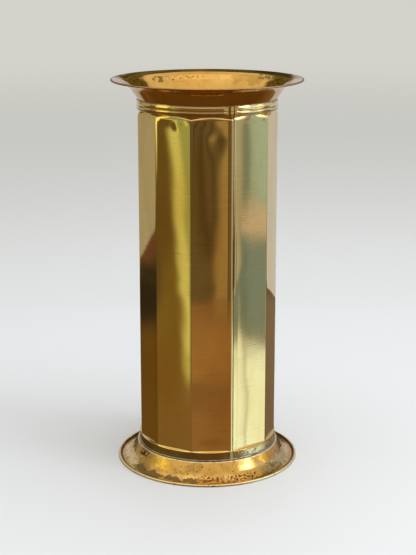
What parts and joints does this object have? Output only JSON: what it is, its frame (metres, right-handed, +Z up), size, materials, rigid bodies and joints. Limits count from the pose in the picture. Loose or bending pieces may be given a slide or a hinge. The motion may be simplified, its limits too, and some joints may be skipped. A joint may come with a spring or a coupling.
{
  "type": "umbrella stand",
  "caption": "Faceted sheet-brass tube that holds umbrellas and canes, with a flared collar, a spreading foot, a closed bottom and a lift-out drip pan.",
  "frame": {"origin": "on the axis of the tube, at the table the foot stands on", "axes": "+Z up along the tube, -Y towards the front, with the lapped seam a little to the +X side of the front"},
  "size_m": [0.2426, 0.2426, 0.5],
  "materials": {
    "tube_brass": "polished sheet brass with a lacquer-worn patina",
    "collar_brass": "polished spun brass, darkened in the flare",
    "foot_brass": "polished spun brass with dark tarnish along the edge",
    "plate_brass": "dull unpolished brass sheet",
    "solder": "soft grey tin solder",
    "wire": "plain drawn iron wire",
    "pan_zinc": "dull zinc sheet"
  },
  "bodies": {
    "stand": {"faceted_tube": "tube_brass", "lap_solder": "solder", "collar": "collar_brass", "collar_wire": "wire", "collar_solder": "solder", "foot": "foot_brass", "foot_wire": "wire", "foot_solder": "solder", "bottom_plate": "plate_brass", "bottom_solder": "solder"},
    "pan": {"drip_pan": "pan_zinc", "pan_wire": "wire"}
  },
  "joints": [
    {"name": "pan_lift", "type": "slide", "parent": "stand", "child": "pan", "axis": [0, 0, 1], "range_m": [0, 0.5]}
  ]
}
